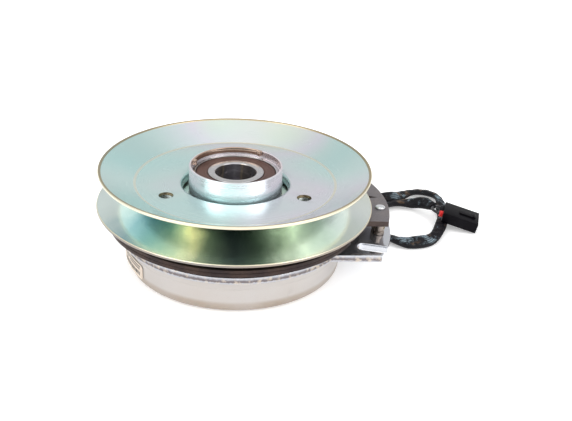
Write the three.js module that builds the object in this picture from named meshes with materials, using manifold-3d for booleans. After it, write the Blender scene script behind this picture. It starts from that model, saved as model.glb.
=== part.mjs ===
// Electromagnetic clutch for a vertical crankshaft, with a stamped V-belt pulley.
// Millimetres, +Z up along the crankshaft, origin on the shaft's axis at the field shell's base.
import * as THREE from 'three';
import { mergeVertices } from 'three/addons/utils/BufferGeometryUtils.js';
import Module from 'manifold-3d';

const wasm = await Module();
wasm.setup();

const rad = (degrees) => degrees * Math.PI / 180;
const polar = (radius, degrees) => [radius * Math.cos(rad(degrees)), radius * Math.sin(rad(degrees))];

// ---------- driving dimensions ----------
const GAP = 0.3;                 // left between pieces that touch on the real clutch
const BORE_R = 14.29;            // 1-1/8 inch crankshaft
const SHEET = 2.0;               // pulley sheet

const SHELL_R = 75.2;            // field shell, a drawn cup
const SHELL_WALL = 3.0;
const SHELL_FLOOR = 4.0;
const SHELL_CORNER = 5.4;
const SHELL_TOP = 24.7;
const POLE_IN = 24.0;            // inner pole tube of the shell
const POLE_OUT = 28.0;

const PLATE_R = 81.5;            // mounting plate on the shell's mouth
const PLATE_Z = [25.0, 30.0];
const PLATE_HOLE_R = 71.6;
const TAB = { outer: 110.5, front: -49.3, back: 50.0 };
const SLOT = { width: 9.6, inner: [88.3, -36.2], tilt: -16, length: 30 };

const ARM_R = 88.8;              // armature disc
const ARM_Z = [34.6, 39.6];
const BRAKE_R = [84.0, 108.7];   // brake plate over the armature's rim
const BRAKE_Z = [39.9, 44.2];
const BRAKE_FRONT = -25.5;       // the brake plate's square front end
const BRAKE_BACK = 36;           // and the angle of its back end
const STAY_AT = [polar(102.4, -2.6), polar(102.4, 24.0)];
const STOP_AT = [101.0, -16.5];

const RIM_UP = [94.25, 72.85];   // upper pulley lip, radius and height
const RIM_LOW = [96.16, 47.46];  // lower pulley lip
const ROOT_R = 69.14;            // where the flat disc turns into the cone
const DISC_Z = 61.42;            // top of the flat disc
const ACCESS = { r: 5.0, at: 53.5, angles: [90, 210, 330] };

const LABEL = { from: 215.5, to: 184, z: [5.6, 16.0], lift: 2.0 };

const HUB_R = 32.43;             // pulley hub tube
const HUB_TOP = 73.46;
const RACE_TOP = 68.39;          // bearing, 16 mm wide
const RACE_BOTTOM = 52.39;
const RACE_IN_R = 19.4;
const RACE_OUT_R = 27.9;
const BALL = { r: 4.6, pitch: 23.65, count: 8 };

const RETAINER = { from: 57, to: 167, outer: 30.7, thickness: 1.3, hook: 1.6, z: [70.3, 74.2] };

const ROTOR_R = 70.8;            // rotor disc and its outer pole
const ROTOR_Z = [29.4, 33.9];
const HUB_SHAFT_R = 21.1;        // rotor hub

const LEAD_D = 6.4;              // sleeved lead
const WIRE_D = 2.2;
const WAY = 5.2;                 // the connector's two ways lie this far from its middle

// ---------- helpers ----------

const clutch = new THREE.Group();
clutch.name = 'electromagnetic_clutch';

function add(name, geometry, color) {
  const mesh = new THREE.Mesh(geometry, new THREE.MeshStandardMaterial({ color }));
  mesh.name = name;
  clutch.add(mesh);
}

// A closed outline of [radius, height] points turned round +Z.
function turned(outline, steps = 48) {
  const closed = [...outline, outline[0]].map(([r, z]) => new THREE.Vector2(r, z));
  const geometry = new THREE.LatheGeometry(closed, steps);
  geometry.rotateX(Math.PI / 2);
  return geometry;
}

function ring(inner, outer, low, high, steps = 40) {
  return turned([[inner, low], [outer, low], [outer, high], [inner, high]], steps);
}

// Points on an arc of [radius, height] or [x, y], angles in degrees.
function arc(cx, cy, r, from, to, steps) {
  const points = [];
  for (let i = 0; i <= steps; i++) {
    const a = rad(from + (to - from) * i / steps);
    points.push([cx + r * Math.cos(a), cy + r * Math.sin(a)]);
  }
  return points;
}

function flat(outline, low, high, holes = []) {
  const shape = new THREE.Shape(outline.map(([x, y]) => new THREE.Vector2(x, y)));
  for (const hole of holes) {
    shape.holes.push(new THREE.Path(hole.map(([x, y]) => new THREE.Vector2(x, y))));
  }
  const geometry = new THREE.ExtrudeGeometry(shape, { depth: high - low, bevelEnabled: false });
  geometry.translate(0, 0, low);
  return geometry;
}

const circle = (x, y, r, steps = 16) => arc(x, y, r, 0, 360, steps).slice(0, -1);

function solid(geometry) {
  const bare = new THREE.BufferGeometry();
  bare.setAttribute('position', geometry.getAttribute('position').clone());
  if (geometry.index) bare.setIndex(geometry.index.clone());
  const merged = mergeVertices(bare, 1e-4);
  return new wasm.Manifold(new wasm.Mesh({
    numProp: 3,
    vertProperties: new Float32Array(merged.getAttribute('position').array),
    triVerts: new Uint32Array(merged.index.array),
  }));
}

function cut(geometry, tools) {
  let body = solid(geometry);
  for (const tool of tools) body = body.subtract(solid(tool));
  const mesh = body.getMesh();
  const result = new THREE.BufferGeometry();
  result.setAttribute('position', new THREE.Float32BufferAttribute(mesh.vertProperties, 3));
  result.setIndex(Array.from(mesh.triVerts));
  result.computeVertexNormals();
  return result;
}

// A rivet on a vertical axis: shank, a domed head on top and a flat foot.
function rivet(x, y, low, high, shank, head, foot) {
  const outline = [
    [0, low - foot.h], [foot.r, low - foot.h], [foot.r, low], [shank, low],
    [shank, high], [head.r, high], [head.r * 0.7, high + head.h * 0.8], [0, high + head.h],
  ].map(([r, z]) => new THREE.Vector2(r, z));
  const geometry = new THREE.LatheGeometry(outline, 14);
  geometry.rotateX(Math.PI / 2);
  geometry.translate(x, y, 0);
  return geometry;
}

// A round tube, solid all through, along a smooth line of points.
function cord(points, diameter, sides, steps) {
  const line = new THREE.CatmullRomCurve3(points.map((p) => new THREE.Vector3(...p)), false, 'centripetal');
  const round = circle(0, 0, diameter / 2, sides).map(([x, y]) => new THREE.Vector2(x, y));
  const section = new THREE.Shape(round);
  return new THREE.ExtrudeGeometry(section, { steps, extrudePath: line, bevelEnabled: false });
}

// ---------- field: the half that stands still ----------
function fieldShell() {
  const wallIn = SHELL_R - SHELL_WALL;
  const inner = SHELL_CORNER - SHELL_WALL;
  return turned([
    [POLE_IN, 0],
    ...arc(SHELL_R - SHELL_CORNER, SHELL_CORNER, SHELL_CORNER, -90, 0, 4),
    [SHELL_R, SHELL_TOP], [wallIn, SHELL_TOP],
    ...arc(wallIn - inner, SHELL_FLOOR + inner, inner, 0, -90, 2),
    [POLE_OUT, SHELL_FLOOR], [POLE_OUT, 26.0], [POLE_IN, 26.0],
  ]);
}

function slotOutline() {
  const [x, y] = SLOT.inner;
  const r = SLOT.width / 2;
  const end = [x + SLOT.length * Math.cos(rad(SLOT.tilt)), y + SLOT.length * Math.sin(rad(SLOT.tilt))];
  return [
    ...arc(x, y, r, SLOT.tilt + 270, SLOT.tilt + 90, 10),
    [end[0] - r * Math.sin(rad(SLOT.tilt)), end[1] + r * Math.cos(rad(SLOT.tilt))],
    [end[0] + r * Math.sin(rad(SLOT.tilt)), end[1] - r * Math.cos(rad(SLOT.tilt))],
  ];
}

// The plate is a ring with a tab at +X; the tab carries the brake plate and the torque slot.
function mountingPlate() {
  const angleAt = (radius, y) => Math.asin(y / radius) * 180 / Math.PI;
  const outline = [
    ...arc(0, 0, PLATE_R, angleAt(PLATE_R, TAB.back), 360 + angleAt(PLATE_R, TAB.front), 56),
    ...arc(0, 0, TAB.outer, angleAt(TAB.outer, TAB.front), angleAt(TAB.outer, TAB.back), 18),
  ];
  const holes = [circle(0, 0, PLATE_HOLE_R, 48), ...STAY_AT.map(([x, y]) => circle(x, y, 3.0))];
  const plate = flat(outline, ...PLATE_Z, holes);
  return cut(plate, [flat(slotOutline(), PLATE_Z[0] - 5, PLATE_Z[1] + 5)]);
}

function brakePlate() {
  const front = BRAKE_R.map((radius) => Math.asin(BRAKE_FRONT / radius) * 180 / Math.PI);
  const outline = [
    ...arc(0, 0, BRAKE_R[1], front[1], BRAKE_BACK, 18),
    ...arc(0, 0, BRAKE_R[0], BRAKE_BACK, 15, 6),
    polar(103.6, 7.5),
    polar(BRAKE_R[0], 6.5),
    ...arc(0, 0, BRAKE_R[0], 4, front[0], 7),
  ];
  return flat(outline, ...BRAKE_Z, STAY_AT.map(([x, y]) => circle(x, y, 3.0)));
}

// The label's far end has come a little way off the shell.
function labelPatch() {
  const face = (thickness) => {
    const points = [];
    for (let i = 0; i <= 12; i++) {
      const share = i / 12;
      const radius = SHELL_R + GAP + LABEL.lift * share ** 2 + thickness;
      points.push(polar(radius, LABEL.from + (LABEL.to - LABEL.from) * share));
    }
    return points;
  };
  return flat([...face(0).reverse(), ...face(0.3)], ...LABEL.z);
}

function field() {
  add('field_shell', fieldShell(), 0xb8b8b2);
  add('mounting_plate', mountingPlate(), 0xc9ced2);
  const bobbin = [[31, 5], [64, 5], [64, 6.5], [33, 6.5], [33, 22.5], [64, 22.5], [64, 24], [31, 24]];
  add('coil_bobbin', turned(bobbin), 0x2b2b2b);
  add('coil_winding', ring(33.3, 62.5, 6.8, 22.2), 0xb06a34);
  add('coil_potting', ring(64.3, 66.0, 5.0, 24.0), 0x3a2f2a);
  add('field_bushing', ring(HUB_SHAFT_R + 0.08, POLE_IN - GAP, 1.0, 25.5, 48), 0xa9813f);
  add('brake_plate', brakePlate(), 0x6e6a6c);
  const spacerZ = [PLATE_Z[1] + GAP, BRAKE_Z[0] - GAP];
  STAY_AT.forEach(([x, y], i) => {
    const spacer = ring(3.0, 4.8, ...spacerZ, 16);
    spacer.translate(x, y, 0);
    add(`brake_spacer_${i + 1}`, spacer, 0xb9a46a);
    const head = { r: 4.4, h: 2.0 };
    const foot = { r: 4.6, h: 1.6 };
    const stay = rivet(x, y, PLATE_Z[0] - GAP, BRAKE_Z[1] + GAP, 2.6, head, foot);
    add(`brake_rivet_${i + 1}`, stay, 0xc8ccd0);
  });
  const pin = [
    [0, PLATE_Z[1] + GAP], [3.6, PLATE_Z[1] + GAP], [3.6, PLATE_Z[1] + 2.6], [2.6, PLATE_Z[1] + 3.4],
    [2.6, BRAKE_Z[0] - GAP], [0, BRAKE_Z[0] - GAP],
  ].map(([r, z]) => new THREE.Vector2(r, z));
  const stop = new THREE.LatheGeometry(pin, 16);
  stop.rotateX(Math.PI / 2);
  stop.translate(...STOP_AT, 0);
  add('brake_stop_pin', stop, 0xc9a24e);
  add('shell_label', labelPatch(), 0xd8cdb4);
}

// ---------- lead with its connector ----------
const EXIT = { angle: 22, z: 13.0 };
const LEAD_LINE = [
  [82.9, 33.5, 13.0], [88.6, 35.7, 12.0], [95.0, 37.3, 8.8], [102.0, 37.4, 5.4], [109.2, 35.0, 3.7],
  [116.4, 29.8, 3.4], [124.0, 23.8, 3.4], [133.0, 20.4, 3.4], [142.2, 21.8, 3.4], [150.8, 29.4, 3.4],
  [157.8, 42.0, 3.4], [162.8, 56.0, 3.4], [166.6, 70.8, 3.4], [168.6, 84.6, 3.4], [169.0, 97.0, 3.4],
  [167.2, 105.2, 3.4], [161.7, 111.0, 3.4], [154.0, 113.0, 3.4], [146.4, 111.0, 3.4], [139.3, 106.0, 3.4],
  [131.8, 100.6, 3.4], [123.2, 97.8, 3.4], [114.6, 98.0, 3.4], [106.8, 100.6, 3.4], [99.0, 102.2, 3.4],
  [91.2, 101.0, 3.4], [84.9, 96.6, 3.4], [81.6, 89.6, 3.4], [82.4, 81.8, 3.4], [87.0, 75.6, 3.4],
  [94.2, 72.4, 3.4], [101.9, 73.2, 3.4], [109.4, 77.2, 3.4], [118.4, 83.8, 3.4], [128.6, 88.9, 3.4],
  [138.6, 89.9, 3.8], [147.4, 86.2, 5.4], [154.2, 79.0, 8.2], [158.8, 71.8, 9.8],
];
// The connector leans on the lead: its wire end is up, its mating end rests on the ground.
const CONNECTOR = { at: [164.4, 60.3, 10.9], yaw: -15, pitch: 13, length: 28, width: 22, height: 8.2 };
const WIRE_LINES = [
  [
    [160.1, 71.6, 10.2], [160.4, 69.6, 11.0],
    inConnector(-4.6, WAY, 0), inConnector(-3.4, WAY, 0), inConnector(4, WAY, 0),
  ],
  [
    [158.2, 70.0, 10.2], [156.2, 65.4, 11.2], [156.4, 59.6, 12.2],
    inConnector(-5.0, -WAY, 0), inConnector(-3.4, -WAY, 0), inConnector(4, -WAY, 0),
  ],
];

function placed(geometry) {
  geometry.rotateY(rad(CONNECTOR.pitch));
  geometry.rotateZ(rad(CONNECTOR.yaw));
  geometry.translate(...CONNECTOR.at);
  return geometry;
}

// Where a point of the connector, measured along it from its wire end, lies in the part's frame.
function inConnector(x, y, z) {
  return new THREE.Vector3(x, y, z)
    .applyAxisAngle(new THREE.Vector3(0, 1, 0), rad(CONNECTOR.pitch))
    .applyAxisAngle(new THREE.Vector3(0, 0, 1), rad(CONNECTOR.yaw))
    .add(new THREE.Vector3(...CONNECTOR.at))
    .toArray();
}

// Blocks of the connector run along +X from its wire end, before it is placed.
function block(x, y, z) {
  const outline = [[x[0], y[0]], [x[1], y[0]], [x[1], y[1]], [x[0], y[1]]];
  return flat(outline, z[0], z[1]);
}

function connector() {
  const { length: l, width: w, height: h } = CONNECTOR;
  const sides = [1, -1].map((side) => side * WAY);
  const cavities = sides.map((y) => block([14, l + 1], [y - 3.9, y + 3.9], [-2.6, 2.4]));
  const wireWays = sides.map((y) => block([-1, 15], [y - 1.7, y + 1.7], [-1.7, 1.7]));
  const body = block([0, l], [-w / 2, w / 2], [-h / 2, h / 2]);
  add('connector_housing', placed(cut(body, [...cavities, ...wireWays])), 0x161616);
  add('connector_latch', placed(block([12, 25], [-3.2, 3.2], [h / 2 + GAP, h / 2 + 1.5])), 0x1c1c1c);
  sides.forEach((y, i) => {
    add(`terminal_${i + 1}`, placed(block([13, 26], [y - 1.6, y + 1.6], [-0.5, 0.3])), 0xc7b98c);
    const seal = ring(WIRE_D / 2 + 0.4, 2.6, 0.3, 3.1, 14);
    seal.rotateY(-Math.PI / 2);
    seal.translate(0, y, 0);
    add(`wire_seal_${i + 1}`, placed(seal), 0xc02020);
  });
}

function lead() {
  const boot = [[0, 0], [6.4, 0], [6.4, 2.0], [5.2, 2.6], [3.9, 13.0], [0, 13.0]];
  const grommet = new THREE.LatheGeometry(boot.map(([r, z]) => new THREE.Vector2(r, z)), 20);
  grommet.rotateX(Math.PI / 2);
  grommet.rotateY(Math.PI / 2);
  grommet.translate(SHELL_R + GAP, 0, EXIT.z);
  grommet.rotateZ(rad(EXIT.angle));
  add('lead_grommet', grommet, 0x1a1a1a);
  add('lead_sleeve', cord(LEAD_LINE, LEAD_D, 8, 76), 0x17171a);
  WIRE_LINES.forEach((line, i) => add(`lead_wire_${i + 1}`, cord(line, WIRE_D, 8, 10), 0x17171a));
}

// ---------- rotor: keyed to the crankshaft ----------
function keyedBore() {
  const half = 3.2;
  const top = 17.2;
  const start = Math.acos(half / BORE_R) * 180 / Math.PI;
  const round = arc(0, 0, BORE_R, 180 - start, 360 + start, 34);
  return [...round, [half, top], [-half, top]];
}

function rotor() {
  add('rotor_hub', flat(circle(0, 0, HUB_SHAFT_R, 48), 1.0, 51.0, [keyedBore()]), 0x7c8288);
  const disc = [
    [HUB_SHAFT_R + GAP, ROTOR_Z[0]], [66.8, ROTOR_Z[0]], [66.8, 10.0], [ROTOR_R, 10.0],
    [ROTOR_R, ROTOR_Z[1]], [62.0, ROTOR_Z[1]], [62.0, ROTOR_Z[1] - 1.5], [50.0, ROTOR_Z[1] - 1.5],
    [50.0, ROTOR_Z[1]], [HUB_SHAFT_R + GAP, ROTOR_Z[1]],
  ];
  add('rotor_disc', turned(disc), 0x5c5450);
  add('rotor_friction_ring', ring(50.3, 61.7, ROTOR_Z[1] - 1.2, ROTOR_Z[1] - 0.1), 0x6a5b49);
  add('bearing_inner_race', innerRace(), 0xc4c8cc);
}

// ---------- bearing ----------
const RACE_MID = (RACE_TOP + RACE_BOTTOM) / 2;

function grooved(edge, far, side) {
  const reach = BALL.r + 0.15;
  const half = Math.sqrt(reach ** 2 - (edge - BALL.pitch) ** 2);
  const bend = Math.asin(half / reach) * 180 / Math.PI;
  const middle = side < 0 ? 180 : 0;
  const groove = arc(BALL.pitch, RACE_MID, reach, middle - bend, middle + bend, 4);
  if (side < 0) groove.reverse();
  const outline = [[far, RACE_BOTTOM], [edge, RACE_BOTTOM], ...groove, [edge, RACE_TOP], [far, RACE_TOP]];
  return side < 0 ? outline : outline.reverse();
}

function innerRace() {
  return turned([
    [BORE_R, RACE_BOTTOM],
    ...grooved(RACE_IN_R, BORE_R, -1).slice(1, -1),
    [BORE_R + 0.5, RACE_TOP],
    [BORE_R, RACE_TOP - 0.5],
  ], 36);
}

function bearing() {
  add('bearing_outer_race', turned(grooved(RACE_OUT_R, 30.0, 1), 36), 0xc9c6be);
  add('bearing_seal_top', ring(19.7, 27.5, RACE_TOP - 1.5, RACE_TOP - 0.4, 36), 0x7d645c);
  add('bearing_seal_bottom', ring(19.7, 27.5, RACE_BOTTOM + 0.4, RACE_BOTTOM + 1.5, 36), 0x7d645c);
  const pockets = [];
  for (let i = 0; i < BALL.count; i++) {
    const [x, y] = polar(BALL.pitch, i * 360 / BALL.count);
    const ball = new THREE.SphereGeometry(BALL.r, 12, 7);
    ball.translate(x, y, RACE_MID);
    add(`bearing_ball_${i + 1}`, ball, 0xd0d4d8);
    const pocket = new THREE.SphereGeometry(BALL.r + 0.55, 10, 6);
    pocket.translate(x, y, RACE_MID);
    pockets.push(pocket);
  }
  const band = ring(22.9, 24.4, RACE_MID - 2.2, RACE_MID + 6.2, 36);
  add('bearing_cage', cut(band, pockets), 0x9a7b3c);
}

// ---------- pulley: carried by the bearing ----------
function accessHoles(low, high) {
  return ACCESS.angles.map((angle) => flat(circle(...polar(ACCESS.at, angle), ACCESS.r, 20), low, high));
}

function upperHalf() {
  const [lipR, lipZ] = RIM_UP;
  const edge = 36.83;
  const bend = 4.2;
  return cut(turned([
    [edge, 54.0], [edge + SHEET, 54.0], [edge + SHEET, DISC_Z - bend],
    ...arc(edge + bend, DISC_Z - bend, bend - SHEET, 180, 90, 3).slice(1),
    [ROOT_R + 0.4, DISC_Z - SHEET], [lipR - 1.4, lipZ - 2.3], [lipR - 0.3, lipZ - 2.2], [lipR, lipZ - 1.1],
    [lipR, lipZ - 0.2], [lipR - 0.9, lipZ],
    [ROOT_R, DISC_Z],
    ...arc(edge + bend, DISC_Z - bend, bend, 90, 180, 5),
  ]), accessHoles(50, 66));
}

function lowerHalf() {
  const [lipR, lipZ] = RIM_LOW;
  const top = DISC_Z - SHEET - GAP;
  return cut(turned([
    [HUB_R + GAP, 49.8], [43.0, 49.8], [49.0, top - SHEET], [ROOT_R + 0.2, top - SHEET],
    [lipR - 1.2, lipZ - 2.2], [lipR - 0.2, lipZ - 2.1], [lipR, lipZ - 1.2], [lipR, lipZ - 0.3],
    [lipR - 0.8, lipZ],
    [ROOT_R + 1.0, top], [48.0, top], [42.0, 51.8], [HUB_R + GAP, 51.8],
  ]), [...accessHoles(45, 66), ...hubHoles(49, 53)]);
}

// Three rivets clamp the lower half, the hub's flange and the drive plate together.
const HUB_RIVET = { at: 38.6, angles: [30, 150, 270] };

function hubHoles(low, high) {
  return HUB_RIVET.angles.map((angle) => flat(circle(...polar(HUB_RIVET.at, angle), 2.9, 12), low, high));
}

// A rounded triangle whose corners reach the access holes.
function drivePlateOutline() {
  return ACCESS.angles.flatMap((angle) => arc(...polar(36, angle), 27, angle - 60, angle + 60, 8));
}

const SPRING_Z = [41.6, 42.8];
const PLATE_DRIVE_Z = [43.1, 46.7];
const ARM_RIVET = { at: 64.0, offset: 52 };

// One strap runs from under an access hole on the pulley side to a rivet in the armature.
function strap(angle) {
  const a = polar(ACCESS.at, angle);
  const b = polar(ARM_RIVET.at, angle + ARM_RIVET.offset);
  const turn = Math.atan2(b[1] - a[1], b[0] - a[0]) * 180 / Math.PI;
  const outline = [...arc(...b, 7.0, turn - 90, turn + 90, 8), ...arc(...a, 7.0, turn + 90, turn + 270, 8)];
  return flat(outline, ...SPRING_Z, [circle(...a, 3.0), circle(...b, 3.4)]);
}

// The retainer is a spring band against the tube's wall, its two ends turned inward.
function retainerOutline() {
  const { from, to, outer, thickness, hook } = RETAINER;
  const inner = outer - thickness;
  return [
    polar(inner - hook, from), polar(inner - hook, from - 4), polar(outer, from - 4),
    ...arc(0, 0, outer, from, to, 20),
    polar(outer, to + 4), polar(inner - hook, to + 4), polar(inner - hook, to),
    ...arc(0, 0, inner, to, from, 20),
  ];
}

function pulley() {
  const tube = [
    [30.3, 47.0], [46.0, 47.0], [46.0, 49.5], [HUB_R, 49.5], [HUB_R, 69.6], [HUB_R - 0.25, 69.8],
    [HUB_R - 0.25, 70.2], [HUB_R, 70.4], [HUB_R, HUB_TOP - 0.7], [HUB_R - 0.6, HUB_TOP],
    [31.0, HUB_TOP], [31.0, RACE_TOP], [30.3, RACE_TOP],
  ];
  add('pulley_hub', cut(turned(tube), hubHoles(46, 50)), 0xb7c4c0);
  add('pulley_upper', upperHalf(), 0xb9c7c9);
  add('pulley_lower', lowerHalf(), 0xa9c0a8);
  add('bearing_retainer', flat(retainerOutline(), ...RETAINER.z), 0xc9bb93);
  const driveHoles = [
    ...ACCESS.angles.map((angle) => circle(...polar(ACCESS.at, angle), 3.0)),
    ...HUB_RIVET.angles.map((angle) => circle(...polar(HUB_RIVET.at, angle), 2.9)),
  ];
  driveHoles.push(circle(0, 0, 31.0, 36));
  add('drive_plate', flat(drivePlateOutline(), ...PLATE_DRIVE_Z, driveHoles), 0x8d8f90);
  HUB_RIVET.angles.forEach((angle, i) => {
    const [x, y] = polar(HUB_RIVET.at, angle);
    const end = { r: 3.8, h: 1.4 };
    add(`hub_rivet_${i + 1}`, rivet(x, y, PLATE_DRIVE_Z[0] - GAP, 52.1, 2.5, end, end), 0xbfc3c6);
  });
  ACCESS.angles.forEach((angle, i) => {
    add(`leaf_spring_${i + 1}`, strap(angle), 0x9aa0a6);
    const [x, y] = polar(ACCESS.at, angle);
    const head = { r: 4.2, h: 1.8 };
    const foot = { r: 4.0, h: 0.9 };
    const stud = rivet(x, y, SPRING_Z[0] - GAP, PLATE_DRIVE_Z[1] + GAP, 2.6, head, foot);
    add(`spring_rivet_${i + 1}`, stud, 0xc2c6c9);
  });
}

// ---------- armature: pulled down to the rotor, pushed up to the brake ----------
function armature() {
  const slots = ACCESS.angles.map((angle) => {
    const [r, w] = [56.0, 3.0];
    return [...arc(0, 0, r, angle - 32, angle + 32, 14), ...arc(0, 0, r - w, angle + 32, angle - 32, 14)];
  });
  const rivetHoles = ACCESS.angles.map((angle) => {
    const [x, y] = polar(ARM_RIVET.at, angle + ARM_RIVET.offset);
    return circle(x, y, 3.0);
  });
  const notch = [polar(84, -28.4), polar(92, -28.2), polar(92, -26.4), polar(84, -26.2)];
  const disc = flat(circle(0, 0, ARM_R, 72), ...ARM_Z, [circle(0, 0, 36.0, 36), ...slots, ...rivetHoles]);
  add('armature', cut(disc, [flat(notch, ARM_Z[0] - 2, ARM_Z[1] + 2)]), 0x4b3a39);
  ACCESS.angles.forEach((angle, i) => {
    const [x, y] = polar(ARM_RIVET.at, angle + ARM_RIVET.offset);
    add(`armature_rivet_${i + 1}`, armatureRivet(x, y), 0xb9bcbf);
  });
}

// Its foot is flush inside the armature and its head clears the strap by the armature's travel.
function armatureRivet(x, y) {
  const outline = [
    [0, ARM_Z[0] + 0.4], [2.6, ARM_Z[0] + 0.4], [2.6, SPRING_Z[1] + 0.8], [4.4, SPRING_Z[1] + 0.8],
    [3.6, SPRING_Z[1] + 2.0], [0, SPRING_Z[1] + 2.2],
  ].map(([r, z]) => new THREE.Vector2(r, z));
  const geometry = new THREE.LatheGeometry(outline, 16);
  geometry.rotateX(Math.PI / 2);
  geometry.translate(x, y, 0);
  return geometry;
}

field();
lead();
connector();
rotor();
bearing();
pulley();
armature();

export default clutch;
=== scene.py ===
"""Looks of the electromagnetic clutch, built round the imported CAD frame. Metres, +Z up the crankshaft."""
import math

import bmesh
import bpy
from mathutils import Matrix, Vector


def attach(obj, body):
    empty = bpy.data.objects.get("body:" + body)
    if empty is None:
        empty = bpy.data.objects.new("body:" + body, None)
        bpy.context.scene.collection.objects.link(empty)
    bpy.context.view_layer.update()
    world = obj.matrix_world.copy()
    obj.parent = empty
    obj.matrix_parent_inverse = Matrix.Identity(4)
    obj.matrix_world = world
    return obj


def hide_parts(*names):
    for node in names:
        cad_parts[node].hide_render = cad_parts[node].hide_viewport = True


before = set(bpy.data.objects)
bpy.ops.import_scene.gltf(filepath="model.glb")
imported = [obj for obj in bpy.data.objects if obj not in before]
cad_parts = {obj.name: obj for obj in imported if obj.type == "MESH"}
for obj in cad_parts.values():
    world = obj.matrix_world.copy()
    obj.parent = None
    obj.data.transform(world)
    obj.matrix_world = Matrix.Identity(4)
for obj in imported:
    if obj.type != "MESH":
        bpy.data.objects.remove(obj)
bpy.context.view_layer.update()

# ---------- dimensions, in millimetres as in the CAD ----------
GAP = 0.3
BORE_R = 14.29
SHEET = 2.0
SHELL_R = 75.2
SHELL_CORNER = 5.4
SHELL_TOP = 24.7
PLATE_R = 81.5
PLATE_Z = (25.0, 30.0)
PLATE_HOLE_R = 71.6
TAB = {"outer": 110.5, "front": -49.3, "back": 50.0}
SLOT = {"width": 9.6, "inner": (88.3, -36.2), "tilt": -16, "middle": (100.3, -39.5), "reach": 16.5}
DIMPLE = {"angle": -60.5, "z": 8.6, "r": 6.0, "depth": 0.6}
LABEL = {"from": 215.5, "to": 184, "z": (5.6, 16.0), "lift": 2.0}
RETAINER = {"from": 57, "to": 167, "outer": 30.7, "thickness": 1.3, "hook": 1.6, "z": (70.3, 74.2)}
ARM_R = 88.8
ARM_Z = (34.6, 39.6)
BRAKE_R = (84.0, 108.7)
BRAKE_Z = (39.9, 44.2)
BRAKE_FRONT = -25.5
BRAKE_BACK = 36
HUB_R = 32.43
HUB_TOP = 73.46
INNER_RACE_R = 19.4
OUTER_RACE_R = 30.0
RACE_TOP = 68.39
RACE_BOTTOM = 52.39
DISC_Z = 61.42
OPENING_R = 36.83
OPENING_BEND = 4.2
ROOT_R = 69.14
RIM_UP = (94.25, 72.85)
RIM_LOW = (96.16, 47.46)
ACCESS = {"r": 5.0, "at": 53.5, "angles": (90, 210, 330), "steps": 48}
HUB_RIVET = {"r": 2.9, "at": 38.6, "angles": (30, 150, 270), "steps": 24}
ARM_RIVET = {"r": 3.0, "at": 64, "offset": 52}
ROTOR_R = 70.8
HUB_SHAFT_R = 21.1
KEYWAY = {"half": 3.2, "top": 17.2}
STAY_HOLE_R = 3.0
STEPS = 192


# ---------- camera ----------
def camera():
    data = bpy.data.cameras.new("camera")
    data.sensor_width = 36
    data.lens = 57.53
    data.clip_start = 0.01
    obj = bpy.data.objects.new("camera", data)
    obj.location = (0, -0.58321, 0.3223)
    obj.rotation_euler = [math.radians(a) for a in (64.0899, -2.3175, -2.4141)]
    bpy.context.scene.collection.objects.link(obj)
    bpy.context.scene.camera = obj


camera()


# ---------- node helpers ----------
MATERIALS = {}


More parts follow.
